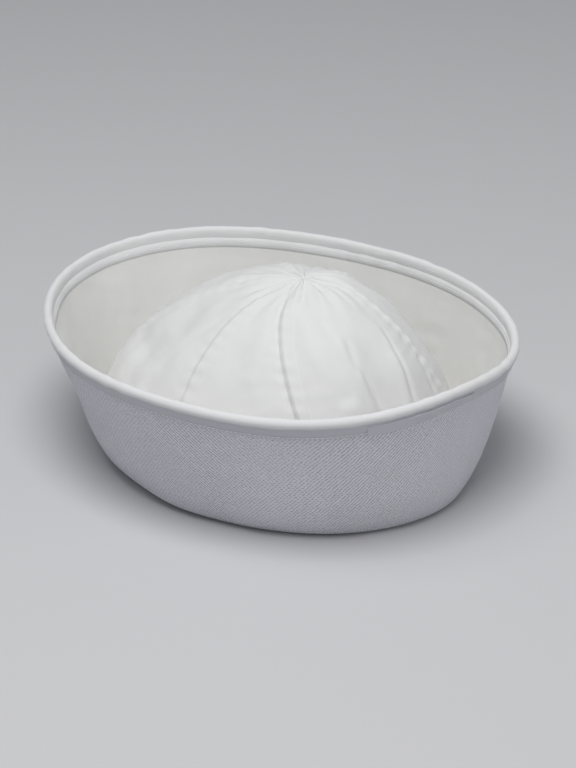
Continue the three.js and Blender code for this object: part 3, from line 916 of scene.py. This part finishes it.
def crownRelief(point, angle, climb, speed):
    # everything that stands out of the plain crown, the same on both sides of a seam
    g = gore
    free = smoothStep(0.03, 0.2, climb)
    relief = ripple(point, g["wrinkleLength"], 21) * g["wrinkleHeight"]
    patch = smoothStep(-0.4, 1, ripple(point, g["finePatch"], 23, 5))
    relief = relief + ripple(point, g["fineLength"], 22) * g["fineHeight"] * patch
    for row in crownCreases:
        (lowAngle, lowClimb), (highAngle, highClimb) = row["low"], row["high"]
        share = (climb - lowClimb) / (highClimb - lowClimb)
        line = np.radians(lowAngle + (highAngle - lowAngle) * np.clip(share, -0.3, 1.3))
        away = wrapAngle(angle - line) * speed / (row["width"] * mm)
        length = smoothStep(-0.22, 0.2, share) * (1 - smoothStep(0.8, 1.22, share))
        relief = relief + row["out"] * mm * np.exp(-away ** 2) * length
    for row in crownDents:
        away = wrapAngle(angle - math.radians(row["angle"])) * speed / (row["round"] * mm)
        height = (climb - row["climb"]) * crownSlope / (row["up"] * mm)
        relief = relief + row["out"] * mm * np.exp(-away ** 2 - height ** 2)
    for number, seam in enumerate(crownSeams):
        away = wrapAngle(angle - seamAngle(seam, climb)) * speed
        phase = fullTurn * climb * crownSlope / g["puckerPitch"] + 2.1 * number
        phase = phase + 1.3 * np.sin(climb * 9 + number)
        near = hump(away, 1.5 * mm, g["puckerReach"])
        fade = 1 - smoothStep(0.8, 0.97, climb)
        relief = relief + g["puckerHeight"] * np.cos(phase) * near * fade
        relief = relief - seam["groove"] * mm * hump(away, -0.8 * mm, g["grooveWidth"])
        ridge = seam["ridge"] * mm * hump(away, 2.4 * mm, g["ridgeWidth"])
        relief = relief + ridge * fade
    nearTip = smoothStep(0.66, 0.88, climb) * (1 - smoothStep(0.95, 1.0, climb))
    gathers = np.cos(13 * angle + 4 * climb + 0.7) + 0.7 * np.cos(21 * angle - 6 * climb)
    relief = relief + g["gatherHeight"] * gathers * nearTip
    return relief * free


def goreSides(number, climbs):
    # angles of the seams that a gore lies between
    following = (number + 1) % len(crownSeams)
    over = 0.0 if following else fullTurn
    return seamAngle(crownSeams[number], climbs), seamAngle(crownSeams[following], climbs) + over


def goreGrid(number):
    g = gore
    climbs = g["foot"] + (g["tip"] - g["foot"]) * np.linspace(0, 1, g["rows"])
    start, end = goreSides(number, climbs)
    speed = faceFrame(crownFace, (start + end) / 2, climbs)[3]
    width = (end - start) * speed
    tuck = np.minimum(g["tuck"], width * g["tuckMost"])
    # columns are closer together on the band than on the rest of the gore
    band = np.minimum(g["bandWidth"], width * g["bandMost"])
    dense = band * g["bandSpan"]
    inBand = np.linspace(0, 1, g["bandColumns"])
    rest = np.linspace(0, 1, g["columns"] - g["bandColumns"] + 1)[1:]
    across = np.concatenate([dense[None] * inBand[:, None],
                             dense[None] + (width + tuck - dense)[None] * rest[:, None]])
    angle = start[None] + across / speed[None]
    return angle, np.broadcast_to(climbs, angle.shape), across, width, band


def goreFaces(number):
    g = gore
    angle, climb, across, width, band = goreGrid(number)
    point, inward, up, speed = faceFrame(crownFace, angle, climb)
    relief = crownRelief(point, angle, climb, speed)
    share = band / g["bandWidth"]
    along = across / share
    raised = 1 - smoothStep(g["bandWidth"] - g["bandEdge"], g["bandWidth"] + 0.3 * mm, along)
    rounded = smoothStep(-0.3 * mm, 1.9 * mm, along)
    puff = 0.25 * mm * np.cos((along - g["bandWidth"] / 2) / g["bandWidth"] * np.pi).clip(0)
    outer = raised * (g["bandRaise"] * rounded + puff)
    for row in g["stitchRows"]:
        outer = outer - g["stitchDip"] * hump(along, row, g["stitchWidth"]) * raised
    under = smoothStep(g["bandFree"] - 0.2 * mm, g["bandFree"] + 1.4 * mm, along)
    below = -0.3 * mm - (g["thickness"] - 0.3 * mm) * under
    # the far edge dips a little where it runs beneath the next gore's band
    dip = smoothStep(-3.0 * mm, 0.2 * mm, across - width)
    sink = g["tuckSink"] * dip
    outerPoints = point + inward * (sink - relief - outer)[..., None]
    innerPoints = point + inward * (sink - relief - below)[..., None]
    for points in (outerPoints, innerPoints):
        points[..., 2] = np.maximum(points[..., 2], crownShape["footHeight"])
    return outerPoints, innerPoints


def seamGuides(number):
    # guide lines for the two rows of stitches along the felled band
    g = gore
    climbs = np.linspace(0.03, 0.965, 160)
    start, end = goreSides(number, climbs)
    startSpeed = faceFrame(crownFace, start, climbs)[3]
    width = (end - start) * startSpeed
    share = np.minimum(g["bandWidth"], width * g["bandMost"]) / g["bandWidth"]
    rows = []
    for row in g["stitchRows"]:
        angle = start + row * share / startSpeed
        point, inward, up, speed = faceFrame(crownFace, angle, climbs)
        relief = crownRelief(point, angle, climbs, speed)
        lift = g["bandRaise"] - g["stitchDip"] - 0.05 * mm
        rows.append((point - inward * (relief + lift)[:, None], -inward, False))
    return rows


for number in range(len(crownSeams)):
    outerPoints, innerPoints = goreFaces(number)
    piece = panelMesh("gore_" + str(number + 1), outerPoints, innerPoints, panelUv(outerPoints))
    standFor(piece, crownCloth, "crown_twill", "crown_gore_" + str(number + 1))
print("crown made of", len(crownSeams), "gores")


# sewing

def ringGuide(below, depth, start=0.0, end=360.0):
    closed = end - start >= 360
    steps = 720
    angles = np.radians(np.linspace(start, end, steps, endpoint=not closed))
    station = np.full_like(angles, 1 - below / brimReach)
    point, inward, up, speed = faceFrame(brimFace, angles, station)
    depth = depth + brimRuffle(point, station)
    return point + inward * depth[:, None], -inward, closed


seamSewing = {"Pitch": 2.7 * mm, "Length": 2.2 * mm, "Thread Radius": 0.2 * mm, "Unevenness": 0.12,
              "Seed": 3}
edgeSewing = {"Pitch": 2.5 * mm, "Length": 2.0 * mm, "Thread Radius": 0.19 * mm, "Unevenness": 0.1,
              "Seed": 5}
hemSewing = {"Pitch": 2.8 * mm, "Length": 2.2 * mm, "Thread Radius": 0.17 * mm, "Unevenness": 0.15,
             "Seed": 8}

sewRows("crown_seam_stitches",
        [row for number in range(len(crownSeams)) for row in seamGuides(number)],
        seamSewing)

legOutside = -clothLayers["gap"] - clothLayers["binding"]
legInside = (clothLayers["outer"] + clothLayers["inner"] + 2 * clothLayers["gap"]
             + binding["insideLift"])
outsideRow = binding["outsideLeg"] - binding["stitchAbove"]
insideRow = binding["insideLeg"] - binding["insideStitchAbove"]
outsideGuide = ringGuide(outsideRow, legOutside + binding["stitchDip"] - 0.04 * mm, -177, 150)
insidePoints, insideOut, closed = ringGuide(insideRow, legInside + 0.12 * mm)
sewRows("binding_stitches", [outsideGuide, (insidePoints, -insideOut, closed)],
        edgeSewing)


def hemGuide():
    angles = ringAngles(900)
    line = hemStation(angles)
    point, inward, up, speed = faceFrame(brimFace, angles, line)
    depth = brimRuffle(point, line) + outerPly["hemDepth"] - 0.08 * mm
    return point + inward * depth[:, None], -inward, True


sewRows("low_brim_stitches", [hemGuide()], hemSewing)
print("sewing made")


# floor, light and camera

stage = {"floorSize": 6.0, "floorColour": (0.62, 0.62, 0.63, 1), "world": (0.78, 0.79, 0.84, 1),
         "worldStrength": 0.33}

bpy.ops.mesh.primitive_plane_add(size=stage["floorSize"], location=(0, 0, -0.0002))
floor = bpy.context.active_object
floor.name = "floor"
floorPaint = bpy.data.materials.new("pale floor")
floorPaint.use_nodes = True
floorShader = floorPaint.node_tree.nodes["Principled BSDF"]
floorShader.inputs["Base Color"].default_value = stage["floorColour"]
floorShader.inputs["Roughness"].default_value = 0.9
floorShader.inputs["Specular IOR Level"].default_value = 0.1
floor.data.materials.append(floorPaint)

world = bpy.data.worlds.new("soft room")
world.use_nodes = True
sky = world.node_tree.nodes["Background"]
sky.inputs["Color"].default_value = stage["world"]
sky.inputs["Strength"].default_value = stage["worldStrength"]
bpy.context.scene.world = world

target = Vector((-0.9, 2.4, 40)) * mm
cameraAt = {"azimuth": 131.742, "elevation": 25.825, "distance": 1711.15 * mm,
            "lens": 145.66, "shiftX": 0.0171, "shiftY": 0.0041}


def outFrom(azimuth, elevation):
    turn, rise = math.radians(azimuth), math.radians(elevation)
    return Vector((math.sin(turn) * math.cos(rise), -math.cos(turn) * math.cos(rise), math.sin(rise)))


softLights = [
    {"name": "overhead", "azimuth": 122, "elevation": 70, "away": 1.5, "size": 0.9, "watts": 13.5},
    {"name": "left above", "azimuth": 45, "elevation": 72, "away": 1.8, "size": 0.9, "watts": 3.5},
    {"name": "near side", "azimuth": 200, "elevation": 16, "away": 2.0, "size": 1.2, "watts": 3},
]
for row in softLights:
    lamp = bpy.data.lights.new(row["name"], "AREA")
    lamp.shape = "DISK"
    lamp.size = row["size"]
    lamp.energy = row["watts"]
    holder = bpy.data.objects.new(row["name"], lamp)
    bpy.context.scene.collection.objects.link(holder)
    away = outFrom(row["azimuth"], row["elevation"])
    holder.location = target + away * row["away"]
    holder.rotation_euler = away.to_track_quat("Z", "Y").to_euler()

camera = bpy.data.objects.new("camera", bpy.data.cameras.new("camera"))
bpy.context.scene.collection.objects.link(camera)
away = outFrom(cameraAt["azimuth"], cameraAt["elevation"])
camera.location = target + away * cameraAt["distance"]
camera.rotation_euler = away.to_track_quat("Z", "Y").to_euler()
camera.data.sensor_width = 36
camera.data.lens = cameraAt["lens"]
camera.data.shift_x = cameraAt["shiftX"]
camera.data.shift_y = cameraAt["shiftY"]
camera.data.clip_start = 0.05
bpy.context.scene.camera = camera
bpy.context.scene.view_settings.view_transform = "Standard"
print("lights and camera set")
